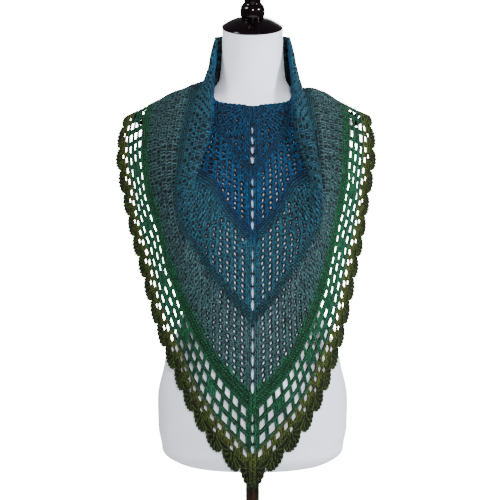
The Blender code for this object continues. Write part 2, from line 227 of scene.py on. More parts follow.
BANDS = (
    # first row, last row, number of crocheted rows, kind
    (0.0040, 0.0517, 5, "close"),
    (0.0517, 0.1581, 8, "lace"),
    (0.1581, 0.1880, 3, "close"),
    (0.1880, 0.3280, 10, "lace"),
    (0.3280, 0.3726, 4, "close"),
    (0.3726, 0.5371, 11, "lace"),
    (0.5371, 0.5752, 4, "close"),
    (0.5752, 0.7532, 12, "lace"),
    (0.7532, FILET_START, 3, "close"),
)
UPPER_BANDS = 5
UPPER_END = BANDS[UPPER_BANDS][0]

# How open the lace is: on the chest, below it in front, and on the wings at the back. In front
# it is open a little farther round on side 1, and less far from the yoke down
CHEST_OPEN = (0.15, 0.75)
CHEST_OPENS = (0.18, 0.32)
CHEST_SIDES = (0.60, 0.75)
CHEST_ENDS = (0.33, 0.36)
FRONT_OPEN = 0.38
FRONT_SIDES = (0.15, 0.29)
FRONT_WIDER = 0.05
FRONT_LESS = 0.07
FRONT_LESS_ROWS = (0.53, 0.60)
BACK_OPEN = 0.7
BACK_ALONG = (0.80, 0.86)
BACK_ROWS = (0.66, 0.70)

# The holes between the shells: how far they stray, in stitches, how many are held open, their
# widths in stitches and their sizes, and the hollows of the rolls and shoulders, which are not cut
# and show the ground's painted shade
HOLE_STRAYS = 0.24
HELD = 2.6
MOST_HELD = 0.96
HOLE_WIDTH = (0.38, 0.52)
HOLE_EDGES = ((0.29, 0.37), (0.72, 0.34))
HOLE_MIDDLE = 0.51
OPEN_SIZE = (0.0004, 0.0021)
DARK_SIZE = 0.0012
DARK_GROWTH = 2.4
ROLLED_ALONG = (0.36, 0.45)
ROLLED_ROWS = (0.26, 0.37)
ROLLED_LESS = 0.35
ROLLED_LESS_ROWS = (0.53, 0.59)

# The mesh is drawn together down the sides, where it carries the point
DRAWN_IN_HEIGHTS = (0.84, 0.98, 1.19, 1.25)
DRAWN_IN_CHAINS = 0.45
FILET_NARROWER = 0.16
FILET_POST_HALF = 0.00155
FILET_SWAY = 0.0009
FILLED_EVERY = 5
FILET_CHAINS = (
    # rows down from the bar's, slant, only where the mesh is drawn together
    (-0.0088, 0.0011, True),
    (-0.0050, -0.0011, True),
    (-0.0012, 0.0011, False),
    (0.0030, -0.0011, False),
    (0.0066, 0.0011, True),
    (0.0102, -0.0011, True),
)

# The edging: rows of its two lines of holes and of its fans' feet, of its posts and chains
FIRST_HOLES = (0.9135, 0.9290)
SECOND_HOLES = (0.9375, 0.9495)
SECOND_HOLE_HALF = 0.085
FAN_FEET = 0.9560
EDGING_MIDDLE = 0.93
EDGING_END = 0.995
EDGING_POSTS = (
    # places on a half, top row, foot row, where they stand in each place, gather, half width
    (2 * SCALLOPS, FILET_END + 0.004, 0.9345, (-0.13, 0.13), 0.0, 0.0016),
    (SCALLOPS, 0.9330, 0.9525, (-0.42, -0.31, -0.20, 0.20, 0.31, 0.42), -0.05, 0.0015),
)
EDGING_CHAINS = (
    # row, slant
    (0.9080, 0.0012),
    (0.9115, -0.0012),
    (0.9320, 0.0013),
    (0.9355, -0.0013),
    (0.9515, 0.0014),
)
FAN_SPREAD = 0.46 * math.pi
FAN_GRAINS = (
    # how far from the hole to the rim, number side by side, half width
    (0.20, 3, 0.0014),
    (0.44, 5, 0.0015),
    (0.68, 6, 0.0017),
    (0.90, 8, 0.0017),
)
FAN_RIM = 10
RIM_HALF = 0.0019
FAN_TOP = 0.9500
FAN_SIDE = 0.485
RIM_SIDE = 0.492
GRAIN_REACH = 0.17 * np.array([-1, -0.45, 0.45, 1])
RIM_TURN = 0.07 * math.pi * np.array([-0.7, -0.3, 0.3, 0.7])
RIM_REACH = np.array([0.95, 1.0, 1.0, 0.95])

# How far over the ground the stitches lie
POST_LIFT = 0.0003
CHAIN_LIFT = 0.0004
GRAIN_LIFT = 0.0005
RIM_LIFT = 0.0002

# The spine's strip
SPINE_EYELETS = (
    # first row, row step, number
    (0.0650, 0.0266, 4),
    (0.2020, 0.0280, 5),
    (0.3890, 0.0329, 5),
    (0.5930, 0.0356, 5),
    (0.8120, 0.0270, 4),
)
EYELET_SHAPE = (
    # rows from its middle in steps, half width, open cell below
    (-0.42, 0.05, {1}),
    (-0.08, 0.46, {1}),
    (0.20, 0.56, {1}),
    (0.42, 0.08, ()),
)
EYELET_REACH = 0.52
EYELET_SIZE = (0.62, 0.52)
SPINE_PLAIN = 0.4
SPINE_PLAIN_ROWS = ((0.0, 0.01, 0.02, 0.045), (0.92, 0.94, 0.97, 1.0))
SPINE_SIDE_ROWS = 0.0085
SPINE_VEE_ROWS = 0.0095

# The yarn's colours down the rows, in screen values
YARN_COLOURS = (
    # row, red, green, blue
    (0.00, 0, 36, 60),
    (0.17, 0, 33, 57),
    (0.24, 0, 43, 71),
    (0.335, 0, 34, 61),
    (0.375, 17, 51, 65),
    (0.53, 16, 48, 60),
    (0.565, 12, 42, 49),
    (0.60, 35, 57, 61),
    (0.735, 29, 53, 54),
    (0.76, 12, 58, 37),
    (0.80, 9, 55, 33),
    (0.90, 11, 51, 36),
    (0.915, 47, 54, 17),
    (0.95, 36, 47, 13),
    (1.00, 22, 34, 7),
)
YARN_SHADES = (
    # scale, detail, strength, least
    (120.0, 3.0, 0.70, 0.65),
    (1500.0, 2.0, 0.50, 0.75),
    (500.0, 1.0, 3.60, -0.80),
)

# Form and stand in detail
TORSO_SIDES = 96
TORSO_LEVELS = 110
FOOT_END = 0.70
FOOT_LEVELS = 14
CRISP = math.radians(50)
FINIAL = (
    # radius, height over the cap's foot
    (0.000, 0.1355), (0.010, 0.1335), (0.018, 0.1265), (0.0225, 0.1145), (0.0225, 0.1015),
    (0.019, 0.0885), (0.0135, 0.0755), (0.0115, 0.0655), (0.0145, 0.0525), (0.0145, 0.0445),
)
CAP_RINGS = ((0.0145, 0.0440), (0.0195, 0.0385), (0.0212, 0.0325), (0.0212, 0.0235), (0.0195, 0.0185))
CAP_DOME = ((0.0200, 0.0180), (0.030, 0.0155), (0.043, 0.0095), (0.0515, 0.0040), (0.0535, 0.0018))

# Studio
FLOOR_RADIUS = 2.0
FLOOR_SIDES = 96
ROOM = (0.95, 0.97, 1.0, 1.0)
ROOM_STRENGTH = 0.16
BACKDROP_STRENGTH = 18.0
LIGHTS = (
    # name, place, target, width, height of a rectangle or none for a disk, watts, tint
    ("key", (0.15, -2.4, 1.45), (0, 0, 1.10), 0.4, None, 97, (1, 1, 1)),
    ("side", (1.6, -1.0, 1.7), (0, 0, 1.2), 0.4, None, 105, (1, 1, 1)),
    ("other_side", (-1.2, -0.7, 2.2), (0, 0, 1.2), 0.6, None, 42, (1, 1, 1)),
    ("back", (0.3, 1.8, 2.0), (0, 0, 1.1), 1.2, None, 65, (1, 1, 1)),
    ("through_the_lace", (0, -0.119, 0.94), (0, 0, 0.94), 0.15, 0.28, 0.21, (0.80, 0.92, 1.0)),
)
CAMERA_PLACE = (-0.0044, -2.3, 1.132)
CAMERA_TARGET = (-0.0044, 0, 1.0445)
CAMERA_LENS = 94.6
CAMERA_WIDTH = 36


def smooth(low, high, value):
    """0 below low, 1 above high, and an even curve between."""
    share = np.clip((value - low) / (high - low), 0, 1)
    return share * share * (3 - 2 * share)


def between(grows, full, ebbs, ends, value):
    """1 from full to where it ebbs, 0 before it grows and after it ends."""
    return smooth(grows, full, value) * (1 - smooth(ebbs, ends, value))


def unit(vectors):
    """The vectors at a length of 1."""
    return vectors / np.maximum(np.linalg.norm(vectors, axis=-1, keepdims=True), 1e-12)


def run_lengths(lines):
    """How far along its own line each point lies."""
    steps = np.linalg.norm(np.diff(lines, axis=1), axis=2)
    return np.pad(np.cumsum(steps, axis=1), ((0, 0), (1, 0)))


def spline(knots, values, at):
    """Smooth curves through the values, (knots, curves, axes), each read at its place."""
    knots, values = np.asarray(knots, float), np.asarray(values, float)
    steps = np.diff(knots)[:, None, None]
    slopes = np.diff(values, axis=0) / steps
    tangents = np.empty_like(values)
    tangents[0], tangents[-1] = slopes[0], slopes[-1]
    tangents[1:-1] = (slopes[1:] * steps[:-1] + slopes[:-1] * steps[1:]) / (steps[1:] + steps[:-1])
    steepness = np.linalg.norm(slopes, axis=2)
    limit = STEEPEST * np.minimum(steepness[1:], steepness[:-1])
    length = np.maximum(np.linalg.norm(tangents[1:-1], axis=2), 1e-9)
    tangents[1:-1] *= np.minimum(1, limit / length)[:, :, None]
    span = np.clip(np.searchsorted(knots, at, side="right") - 1, 0, len(knots) - 2)
    point = np.arange(values.shape[1])
    width = (knots[span + 1] - knots[span])[:, None]
    share = ((at - knots[span]) / width[:, 0])[:, None]
    low, high = values[span, point], values[span + 1, point]
    leave, arrive = tangents[span, point] * width, tangents[span + 1, point] * width
    square, cube = share**2, share**3
    return (
        low * (2 * cube - 3 * square + 1)
        + leave * (cube - 2 * square + share)
        + high * (3 * square - 2 * cube)
        + arrive * (cube - square)
    )


def curve(knots, places, at):
    """One smooth curve through places at knots."""
    return spline(knots, np.array(places, float)[:, None], at)


FORM_TABLE = np.array(FORM_SECTIONS)
FORM_HEIGHTS = np.linspace(FORM_TABLE[0, 0], FORM_TABLE[-1, 0], 1500)
FORM_SIZES = curve(FORM_TABLE[:, 0], FORM_TABLE[:, 1:], FORM_HEIGHTS)


def form_sizes(height):
    """The form's half width, front reach, back reach and squareness at the given heights."""
    return [np.interp(height, FORM_HEIGHTS, FORM_SIZES[:, k]) for k in range(4)]


def breast(side, height):
    """How far the bust stands out of the form's front."""
    over = (np.abs(side) - BREAST_SIDE) / BREAST_SPREAD
    up = (height - BREAST_HEIGHT) / BREAST_SPREAD
    return BREAST_REACH * np.exp(-(over**2) - up**2)


def form_level(points):
    """Below 0 inside the form, 0 on its surface and above 0 outside."""
    width, front, back, square = form_sizes(points[:, 2])
    depth = np.where(points[:, 1] < 0, front + breast(points[:, 0], points[:, 2]), back)
    across, deep = np.abs(points[:, 0]) / width, np.abs(points[:, 1]) / depth
    return (across**square + deep**square) ** (1 / square) - 1


def laid_on_form(points, gap, snug):
    """The points, moved out of the form until the gap is clear, and in to the gap where snug is 1."""
    probe, longest = 0.001, 0.01
    for _ in range(6):
        rises = [form_level(points + step) - form_level(points - step) for step in np.eye(3) * probe]
        slope = np.stack(rises, axis=1) / (2 * probe)
        steep = np.maximum(np.linalg.norm(slope, axis=1), 1e-6)
        short = gap - form_level(points) / steep
        move = np.maximum(short, 0) + np.minimum(short, 0) * snug
        move = np.clip(move, -longest, longest) * (points[:, 2] < NECK_TOP + 0.02)
        points = points + slope / steep[:, None] * move[:, None]
    return points


def guide_lines(table, at):
    """The guide lines of a table in millimetres, read at the given shares along them."""
    knots, *lines = zip(*table)
    return [curve(knots, np.array(line) / 1000, at) for line in lines]


def surface(row, along, side):
    """Points on the middle of the cloth, along being counted from the spine's own middle."""
    shape = row.shape
    row, along = row.ravel(), along.ravel()
    chest, roll, yoke, border, hem = guide_lines(SECTIONS, along)
    valley_tuck, turn_tuck = guide_lines(ROLL_TUCK, np.clip(along, ROLL_TUCK[0][0], 1))
    rise = (chest - roll) / (ROLL_ROW - CHEST_ROW)
    valley = roll + rise * (ROLL_ROW - VALLEY_ROW) + valley_tuck
    turn = roll + rise * (ROLL_ROW - TURN_ROW) + turn_tuck
    top = np.repeat([NECKLINE], len(along), axis=0) / 1000
    rows = (0, CHEST_ROW, VALLEY_ROW, TURN_ROW, ROLL_ROW, YOKE_ROW, BORDER_ROW, 1)
    place = spline(rows, [top, chest, valley, turn, roll, yoke, border, hem], row)
    x, y, z = place[:, 0] * side, -place[:, 1], place[:, 2]
    skewed = smooth(*SKEW_ROWS, row) * smooth(*SKEW_STARTS, along)
    skewed = skewed * (1 - smooth(*SKEW_ENDS[side], along))
    x = x + SKEW * (SKEW_HEIGHT - z) * skewed
    snug = smooth(*SNUG_ALONG, along) * smooth(*SNUG_ROWS, row)
    bridged = BRIDGE[side] * smooth(*BRIDGE_SIDES, np.abs(x)) * smooth(*BRIDGE_HEIGHTS, z)
    snug = snug * (1 - bridged)
    gap = REST_GAP + WALL / 2 + (side > 0) * WRAP_LAYER * snug
    points = laid_on_form(np.stack([x, y, z], axis=1), gap, snug)
    return points.reshape(*shape, 3)


def flat_place(row, along):
    """Where a point of one half lies when the shawl is flat."""
    return np.stack([row * along * FLAT_WIDTH, row * (1 - along) * FLAT_DEPTH], axis=-1)


def crease_height(side, row, along):
    """How far the soft creases push the cloth out."""
    place = flat_place(row, along)
    total = np.zeros(row.shape)
    for of_side, row_a, along_a, row_b, along_b, half, height in CREASES:
        if of_side != side:
            continue
        start = flat_place(row_a, along_a)
        way = flat_place(row_b, along_b) - start
        share = ((place - start) @ way) / (way @ way)
        off = np.linalg.norm(place - start - np.clip(share, 0, 1)[..., None] * way, axis=-1)
        total += height * np.exp(-((off / half) ** 2)) * between(*CREASE_ENDS, share)
    over, down = (place[..., k] * wave for k, wave in enumerate(RIPPLE_WAVES))
    ripple = np.sin(over + 1.3 * side) * np.sin(down + side)
    return total + RIPPLE * ripple * smooth(*RIPPLE_ROWS, row)


def raised(row, along):
    """The rows, a little higher at the sides of the chest, so that each band makes a steeper V."""
    return row - RAISE * between(*RAISE_ALONG, along) * between(*RAISE_ROWS, row)


def neckline_curve(side, row, along):
    """How the neckline's edge bows up to its corners, and how the corners are drawn out."""
    edge = smooth(*NECK_EDGE, along)
    bow = edge * np.sin(math.pi * np.clip(row / NECK_BOW_END, 0, 1)) ** 2
    corner = edge * between(*CORNER_ROWS, row)
    return np.stack([side * CORNER_OUT * corner, 0 * row, NECK_BOW * bow - CORNER_DOWN * corner], axis=-1)


class Half:
    """One half of the cloth as a close grid, read between its points."""

    ROWS = np.linspace(0, 1, 221)
    ALONG = np.linspace(0, 1, 321)

    def __init__(self, side):
        self.side = side
        row, along = np.meshgrid(self.ROWS, self.ALONG, indexing="ij")
        points = surface(raised(row, along), along, side)
        points += self.facing(points) * crease_height(side, row, along)[..., None]
        self.points = points + neckline_curve(side, row, along)
        self.normals = self.facing(self.points)
        self.lengths = run_lengths(self.points)

    def facing(self, points):
        """The cloth's outward direction at each point of the grid."""
        down, over = np.gradient(points, axis=0), np.gradient(points, axis=1)
        normal = unit(np.cross(over, down) * -self.side)
        normal[0] = normal[1]
        return normal

    def length(self, row):
        """How long the row is on this half."""
        return np.interp(row, self.ROWS, self.lengths[:, -1])

    def along(self, row, share):
        """The grid's own measure for a share that is counted from the spine strip's edge."""
        start = np.minimum((SPINE_HALF + SEAM) / np.maximum(self.length(row), 1e-4), 0.9)
        return start + (1 - start) * share

    def evenly(self, row, share):
        """The share at which this part of the row's length is reached."""
        k = round(float(row) * (len(self.ROWS) - 1))
        start = self.along(row, 0.0)
        reach = self.lengths[k] / self.lengths[k, -1]
        first = np.interp(start, self.ALONG, reach)
        return (np.interp(first + (1 - first) * share, reach, self.ALONG) - start) / (1 - start)

    def read(self, row, share, out=0.0):
        """Points of the cloth, and its outward directions, at rows and shares of any one shape."""
        row, share, out = np.broadcast_arrays(row, share, out)
        return self.read_along(row, self.along(row, share), out)

    def read_along(self, row, along, out):
        i = np.clip(row, 0, 1) * (len(self.ROWS) - 1)
        j = np.clip(along, 0, 1) * (len(self.ALONG) - 1)
        low_i = np.minimum(i.astype(int), len(self.ROWS) - 2)
        low_j = np.minimum(j.astype(int), len(self.ALONG) - 2)
        part_i, part_j = (i - low_i)[..., None], (j - low_j)[..., None]
        place, facing = (
            grid[low_i, low_j] * (1 - part_i) * (1 - part_j)
            + grid[low_i + 1, low_j] * part_i * (1 - part_j)
            + grid[low_i, low_j + 1] * (1 - part_i) * part_j
            + grid[low_i + 1, low_j + 1] * part_i * part_j
            for grid in (self.points, self.normals)
        )
        facing = unit(facing)
        return place + facing * out[..., None], facing


class Spine:
    """The strip between the halves, read by row and by the place across it, from -1 to 1."""

    side = 0

    def __init__(self, halves):
        self.halves = halves

    def read(self, row, across, out=0.0):
        row, across, out = np.broadcast_arrays(row, across, out)
        place, facing = np.empty(row.shape + (3,)), np.empty(row.shape + (3,))
        for side, half in self.halves.items():
            mine = across >= 0 if side > 0 else across < 0
            along = np.abs(across[mine]) * half.along(row[mine], 0.0) * SPINE_HALF / (SPINE_HALF + SEAM)
            place[mine], facing[mine] = half.read_along(row[mine], along, out[mine])
        return place, facing


def tube_faces(rings, sides, first=0):
    """The quads between rings of points, counted from the first."""
    ring = np.arange(sides)
    after = (ring + 1) % sides
    low = first + np.arange(rings - 1)[:, None] * sides
    high = low + sides
    return np.stack([low + ring, low + after, high + after, high + ring], axis=-1).reshape(-1, 4)


def tip_faces(rings):
    """The triangles at both tips of a strand."""
    ring = np.arange(STRAND_SIDES)
    after = (ring + 1) % STRAND_SIDES
    last = rings * STRAND_SIDES + 1
    ring_start = last - STRAND_SIDES
    return np.concatenate([
        np.stack([0 * ring, 1 + after, 1 + ring], axis=1),
        np.stack([0 * ring + last, ring_start + ring, ring_start + after], axis=1),
    ])


def ringed(values):
    """Values at a strand's knots as values at its tips and at each point of its rings."""
    rings = np.repeat(values[:, 1:-1], STRAND_SIDES, axis=1)
    return np.concatenate([values[:, :1], rings, values[:, -1:]], axis=1)


def linked(name, data):
    """A new object in the scene."""
    made = bpy.data.objects.new(name, data)
    bpy.context.scene.collection.objects.link(made)
    return made


def finished(name, mesh, look):
    """The mesh as a smooth object that rides on the model's body."""
    mesh.shade_smooth()
    mesh.materials.append(look)
    made = linked(name, mesh)
    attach(made, "root")
    return made


class Piece:
    """A mesh that grows strand by strand, with the yarn's row, its tone with painted shade laid into it, and
    its twist at each point.
    """

    def __init__(self, name):
        self.name = name
        self.parts, self.faces = [], []
        self.count = 0
        self.holes, self.sizes = None, []

    def open_at(self, centres, sizes):
        """Holes of the lace, which the strands laid from now on bend around."""
        self.holes, self.sizes = KDTree(len(centres)), sizes
        for number, centre in enumerate(centres):
            self.holes.insert(centre, number)
        self.holes.balance()

    def bent_around(self, path, facing, width):
        """The paths, moved out of the way of each hole that they come close to."""
        if self.holes is None:
            return path
        path = path.copy()
        for place, outward in zip(path.reshape(-1, 3), facing.reshape(-1, 3)):
            centre, number, _ = self.holes.find(place)
            off = place - np.array(centre)
            off -= outward * (off @ outward)
            far, size = np.linalg.norm(off), self.sizes[number] + width
            if 1e-6 < far < BEND_REACH * size:
                place += off / far * size * (1 - far / (BEND_REACH * size))
        return path

    def add(self, points, row, tone_and_shade, twist):
        """Points, with the row, the tone with its painted shade, and the twist of each."""
        row, tone_and_shade = (np.broadcast_to(values, len(points)) for values in (row, tone_and_shade))
        self.parts.append((points, row, tone_and_shade, np.broadcast_to(twist, points.shape)))
        self.count += len(points)

    def strands(self, places, wide, flat, row, light=1.0):
        """Yarn closed to a tip at both ends. places are the paths' points and outward directions,
        (strands, knots, 3), wide is the yarn's half width and flat its depth as a share of that,
        and light scales the stitches' tone down as painted shade."""
        path, facing = places
        number, knots = path.shape[:2]
        tone_and_shade = tones(number)[:, None] * light
        if not number:
            return
        path = self.bent_around(path, facing, np.max(wide))
        way = unit(np.gradient(path, axis=1))
        beside = unit(np.cross(way, facing))
        proud = np.cross(beside, way)
        wide, row = (np.broadcast_to(v, (number, knots)) for v in (wide, row))
        angles = np.arange(STRAND_SIDES) / STRAND_SIDES * 2 * math.pi
        cosine, sine = np.cos(angles), np.sin(angles)
        inner = slice(1, -1)
        rings = path[:, inner, None] + (
            beside[:, inner, None] * wide[:, inner, None, None] * cosine[:, None]
            + proud[:, inner, None] * (wide * flat)[:, inner, None, None] * sine[:, None]
        )
        points = np.concatenate([path[:, :1], rings.reshape(number, -1, 3), path[:, -1:]], axis=1)
        # Each strand is painted darker at its sides and at its tips: painted shade between the strands and
        # where they tuck in
        cosines, sines, painted_shades = (
            np.concatenate([[tip], np.tile(round_it, knots - 2), [tip]])
            for tip, round_it in ((0, cosine), (0, sine), (0.4, 0.16 + 0.92 * np.abs(sine) ** 1.4))
        )
        twist = np.stack(np.broadcast_arrays(cosines, sines, ringed(run_lengths(path))), axis=-1)
        starts = self.count + np.arange(number)[:, None, None] * points.shape[1]
        for faces in (tip_faces(knots - 2), tube_faces(knots - 2, STRAND_SIDES, 1)):
            self.faces += (faces + starts).reshape(-1, faces.shape[1]).tolist()
        self.add(points.reshape(-1, 3), ringed(row).ravel(), (tone_and_shade * painted_shades).ravel(), twist.reshape(-1, 3))

    def finish(self, look, slot):
        points, *values = (np.concatenate(part) for part in zip(*self.parts))
        mesh = bpy.data.meshes.new(self.name)
        mesh.from_pydata(points, [], self.faces)
        for name, part in zip(("row", "tone_and_shade", "twist"), values):
            kind, key = ("FLOAT", "value") if part.ndim == 1 else ("FLOAT_VECTOR", "vector")
            attribute = mesh.attributes.new(name, kind, "POINT")
            attribute.data.foreach_set(key, part.astype(np.float32).ravel())
        return finished(self.name, mesh, look)


def zipped(shares_a, a, shares_b, b):
    """Triangles between two lines of points that start at the indices a and b."""
    faces = []
    for _, on_a in sorted([(share, 1) for share in shares_a[1:]] + [(share, 0) for share in shares_b[1:]]):
        faces.append((a, b, a + 1 if on_a else b + 1))
        a, b = a + on_a, b + 1 - on_a
    return faces


def ground(name, cloth, lines, look, slot):
    """A dark sheet under the stitches, painted shade for the gaps between and behind them. lines are (rows,
    shares, open cells below, or None to zip).
    """
    piece = Piece(name)
    starts = []
    for rows, shares, _ in lines:
        starts.append(piece.count)
        # Its points carry the ground's painted shade as their tone
        piece.add(cloth.read(rows, shares)[0], rows, GROUND_PAINTED_SHADE, 0)
    for k, (_, shares, cells) in enumerate(lines[:-1]):
        if cells is None:
            piece.faces += zipped(shares, starts[k], lines[k + 1][1], starts[k + 1])
        else:
            kept = [(starts[k] + j, starts[k + 1] + j) for j in range(len(shares) - 1) if j not in cells]
            piece.faces += [(a, b, b + 1, a + 1) for a, b in kept]
    if cloth.side > 0:
        piece.faces = [face[::-1] for face in piece.faces]
    made = piece.finish(look, slot)
    wall = made.modifiers.new("wall", "SOLIDIFY")
    wall.thickness = BASE_THICK
    wall.offset = 0
    wall.use_even_offset = False
    return made


def tones(number):
    """How light each stitch is, so that the yarn looks hand dyed."""
    return 1 + TONE_SPREAD * RANDOM.standard_normal(number).clip(-2, 2)


def spread(half, row, count, offset=0.0):
    """Shares along a row at each stitch's place plus an offset in stitches, kept on the cloth."""
    at = (np.arange(count)[:, None] + 0.5 + offset) / count
    return half.evenly(row, np.clip(at, 0.001, 0.999))


def swaying(number, down):
    """A different sway for each of a number of strands, down its length."""
    return np.sin(2 * math.pi * down + RANDOM.uniform(0, 6.28, (number, 1)))


def hole_size(half, row, share):
    """How open the lace is: 1 wide open, 0 closed."""
    along = half.along(row, share)
    wider = FRONT_WIDER * (half.side > 0) - FRONT_LESS * smooth(*FRONT_LESS_ROWS, row)
    front = FRONT_OPEN * (1 - smooth(FRONT_SIDES[0] + wider, FRONT_SIDES[1] + wider, along))
    chest = CHEST_OPEN[0] + CHEST_OPEN[1] * smooth(*CHEST_OPENS, row)
    chest = chest * (1 - smooth(*CHEST_SIDES, along))
    back = BACK_OPEN * smooth(*BACK_ALONG, along) * smooth(*BACK_ROWS, row)
    lower = smooth(*CHEST_ENDS, row)
    return np.maximum((1 - lower) * chest + lower * front, back)


class Course:
    """A crocheted row of a half: its place, its number of stitches, the places between its shells
    and how wide each one is open. Where two rows are low together, the first is worked over both."""

    def __init__(self, half, band, top, foot, kind, second):
        self.half, self.band, self.kind, self.second = half, band, kind, second
        self.top, self.foot = top, foot
        self.middle, self.step = (top + foot) / 2, foot - top
        stitch, multiple, self.lowest = KINDS[kind]
        count = max(multiple, multiple * round(half.length(self.middle) / stitch / multiple))
        self.count = count
        low = self.squeezed(spread(half, self.middle, count)[:, 0])
        self.has_posts = ~low | (not second)
        self.has_loops = ~low | second
        self.reach = np.where(low & (not second), 2, 1)
        if kind == "lace":
            gaps = np.arange(REPEAT, count - 0.5, REPEAT)
            self.gaps = gaps + RANDOM.uniform(-HOLE_STRAYS, HOLE_STRAYS, len(gaps))
            openness = HELD * hole_size(half, self.middle, self.gaps / count)
            held = RANDOM.random(len(gaps)) < np.minimum(openness, MOST_HELD)
            least, more = HOLE_WIDTH
            widths = least + more * np.minimum(openness, 1) * RANDOM.uniform(0.7, 1.1, len(gaps))
            self.widths = np.where(held, widths, 0)

    def squeezed(self, share):
        """Where the two rows together are too low for two."""
        first = self.top - self.step if self.second else self.top
        above, below = (self.half.read(first + rows, share)[0] for rows in (0, 2 * self.step))
        return np.linalg.norm(below - above, axis=-1) < self.lowest


def body_half(half, word, look):
    """The lace body: its ground, a dark sheet of painted shade, with the small holes cut, and its stitches.
    """
    upper, lower = Piece(f"stitches_upper_{word}"), Piece(f"stitches_lower_{word}")
    courses = []
    for band, (first, last, number, kind) in enumerate(BANDS):
        edges = np.linspace(first, last, number + 1)
        courses += [Course(half, band, edges[k], edges[k + 1], kind, k % 2 == 1) for k in range(number)]
    holes = lace_holes(half, courses)
    upper.open_at(*holes)
    lower.open_at(*holes)
    lines = []
    for course in courses:
        piece = upper if course.band < UPPER_BANDS else lower
        if course.kind == "lace":
            lay_lace(piece, half, course)
            lines += lace_lines(half, course)
        else:
            lay_close(piece, half, course)
            shares = half.evenly(course.middle, np.linspace(0, 1, course.count // 2 + 1))
            lines.append((course.top, shares, None))
    count = round(half.length(CAST_ON_ROW) / CAST_ON_STITCH)
    lay_loops(upper, half, CAST_ON_ROW, count, out=0.0, slant=0.0, size=CAST_ON_SIZE)
    lines.append((FILET_START, half.evenly(FILET_START, np.linspace(0, 1, 130)), None))
    lay_edge(upper, half, EDGE_START, UPPER_END, EDGE_SIZE)
    lay_edge(lower, half, UPPER_END, FILET_START)
    cloth = ground(f"ground_{word}", half, lines, look, "body_yarn")
    return cloth, [upper.finish(look, "body_yarn"), lower.finish(look, "body_yarn")]


def lace_holes(half, courses):
    """The middles and sizes of the lace's holes, and of the hollows between its closed shells, which are not
    cut and show the ground's painted shade.
    """
    centres, sizes = [], []
    for course in courses:
        if course.kind != "lace" or not len(course.gaps):
            continue
        middle, second = course.middle, course.second
        share = half.evenly(middle, course.gaps / course.count)
        low = course.squeezed(share)
        down = np.where(low & (not second), 1.0, HOLE_MIDDLE)
        places = half.read(course.top + course.step * down, share)[0]
        rolled = smooth(*ROLLED_ALONG, half.along(middle, share))
        rolled *= 1 - ROLLED_LESS * smooth(*ROLLED_LESS_ROWS, middle)
        rolled *= smooth(*ROLLED_ROWS, middle) * RANDOM.uniform(0.8, 1.1, len(share))
        dark = DARK_SIZE * (DARK_GROWTH * (rolled - 1) + 1)
        size = np.where(course.widths > 0, OPEN_SIZE[0] + OPEN_SIZE[1] * course.widths, dark)
        kept = ~low | (not second)
        centres += list(places[kept])
        sizes += list(size[kept])
    return centres, sizes


def lace_lines(half, course):
    """The ground's two lines at a lace row: the upper and the lower edges of its holes."""
    points, cells = [(0.0, 0.0)], set()
    for gap, opening in zip(course.gaps, course.widths):
        if opening > 0:
            cells.add(len(points))
            points.append((gap, -opening))
        points.append((gap, opening))
        if gap + REPEAT / 2 < course.count - 0.6:
            points.append((gap + REPEAT / 2, 0.0))
    middles, off = np.array(points + [(course.count, 0.0)]).T
    lines = []
    for (down, wide), below in zip(HOLE_EDGES, (cells, None)):
        shares = half.evenly(course.middle, (middles + wide * off) / course.count)
        lines.append((course.top + down * course.step, shares, below))
    return lines


def lay_lace(piece, half, course):
    """A row of shells: tall stitches gathered above and spread below, and the loops on their foot."""
    count, kept = course.count, course.has_posts
    member = (np.arange(count) % REPEAT - REPEAT // 2)[:, None]
    down = np.array([-0.08, 0.16, 0.48, 0.80, 1.06])
    across = -GATHER * member * (1 - down) + SHELL_SWAY * swaying(count, down)
    share = spread(half, course.middle, count, across)[kept]
    rows = course.top + course.step * down * course.reach[kept, None]
    out = 0.0007 * np.sin(math.pi * np.clip(down, 0, 1)) - 0.0001
    wide = POST_HALF * np.array([0, 0.74, 0.95, 1.10, 0]) * RANDOM.uniform(0.88, 1.12, (len(share), 1))
    piece.strands(half.read(rows, share, out), wide, POST_DEPTH / POST_HALF, rows)
    lay_loops(piece, half, course.foot - 0.02 * course.step, count, out=0.0008, kept=course.has_loops)


def lay_loops(piece, half, row, count, out, slant=0.0018, size=1.0, kept=slice(None)):
    """The row of slanting loops along the foot of a crocheted row."""
    across = np.array([-0.70, -0.28, 0.28, 0.70])
    share = spread(half, row, count, across + RANDOM.uniform(-0.08, 0.08, (count, 1)))[kept]
    rows = row + slant * LOOP_SLANT
    out = out + 0.0002 * np.array([-2, 1, 1, -2])
    piece.strands(half.read(rows, share, out), size * LOOP_HALF * LOOP, 1, rows)


def lay_close(piece, half, course):
    """A row of short close stitches, each a V of two legs, and its loops."""
    count, step = course.count, course.step
    down = np.array([0.02, 0.32, 0.70, 0.98])
    rows = course.top + step * down
    for lean in (-1, 1):
        share = spread(half, course.middle, count, lean * (0.10 + 0.26 * down))
        # Painted shade: the legs darker than the loops over them, those of one lean darker than those of the
        # other
        piece.strands(half.read(rows, share), CLOSE_HALF * LOOP, 1, rows, 0.50 + 0.1 * lean)
    lay_loops(piece, half, course.foot - 0.10 * step, count, out=0.0006, slant=0.0022, kept=course.has_loops)


def lay_edge(piece, half, first, last, size=1.0):
    """The loops that finish the straight top edge."""
    ends = half.read(np.linspace(first, last, 200), 1.0)[0]
    count = int(run_lengths(ends[None])[0, -1] / STITCH / size)
    edges = np.linspace(first, last, count + 1)
    rows = edges[:-1, None] + np.diff(edges)[:, None] * np.array([-0.2, 0.25, 0.75, 1.2])
    share = 1 - 0.0012 / size**4 * np.array([0.4, 1.6, 1.6, 0.4]) / half.length(rows)
    piece.strands(half.read(rows, share), LOOP_HALF * size * LOOP, 1, rows)


def drawn_in(half, row, share):
    """How far the mesh is drawn together, from 0 to 1."""
    return between(*DRAWN_IN_HEIGHTS, half.read(row, share)[0][..., 2])


